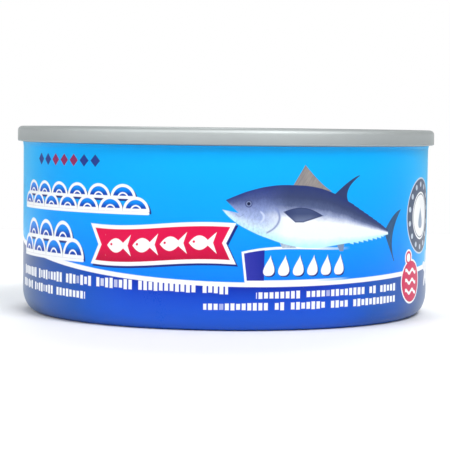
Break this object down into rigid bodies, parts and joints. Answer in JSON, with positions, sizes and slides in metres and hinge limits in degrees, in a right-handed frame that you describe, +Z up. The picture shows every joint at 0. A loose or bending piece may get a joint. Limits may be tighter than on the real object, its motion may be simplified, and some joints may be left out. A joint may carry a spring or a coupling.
{
  "type": "tuna can",
  "caption": "Shut round tuna can: drawn metal body with a blue printed wall and a rounded heel, easy-open end joined by a double seam, and a ring pull held by a rivet.",
  "frame": {"origin": "middle of the can's base, on the surface that it stands on", "axes": "+Z up along the can's axis; the front of the print faces -Y, and the ring pull's rivet lies towards +Y"},
  "size_m": [0.0868, 0.0868, 0.038],
  "materials": {
    "printed_metal": "print under clear gloss lacquer",
    "bare_metal": "satin",
    "pull_metal": "satin"
  },
  "bodies": {
    "root": {"can_body": "printed_metal", "easy_open_end": "bare_metal", "ring_pull": "pull_metal"}
  },
  "joints": []
}
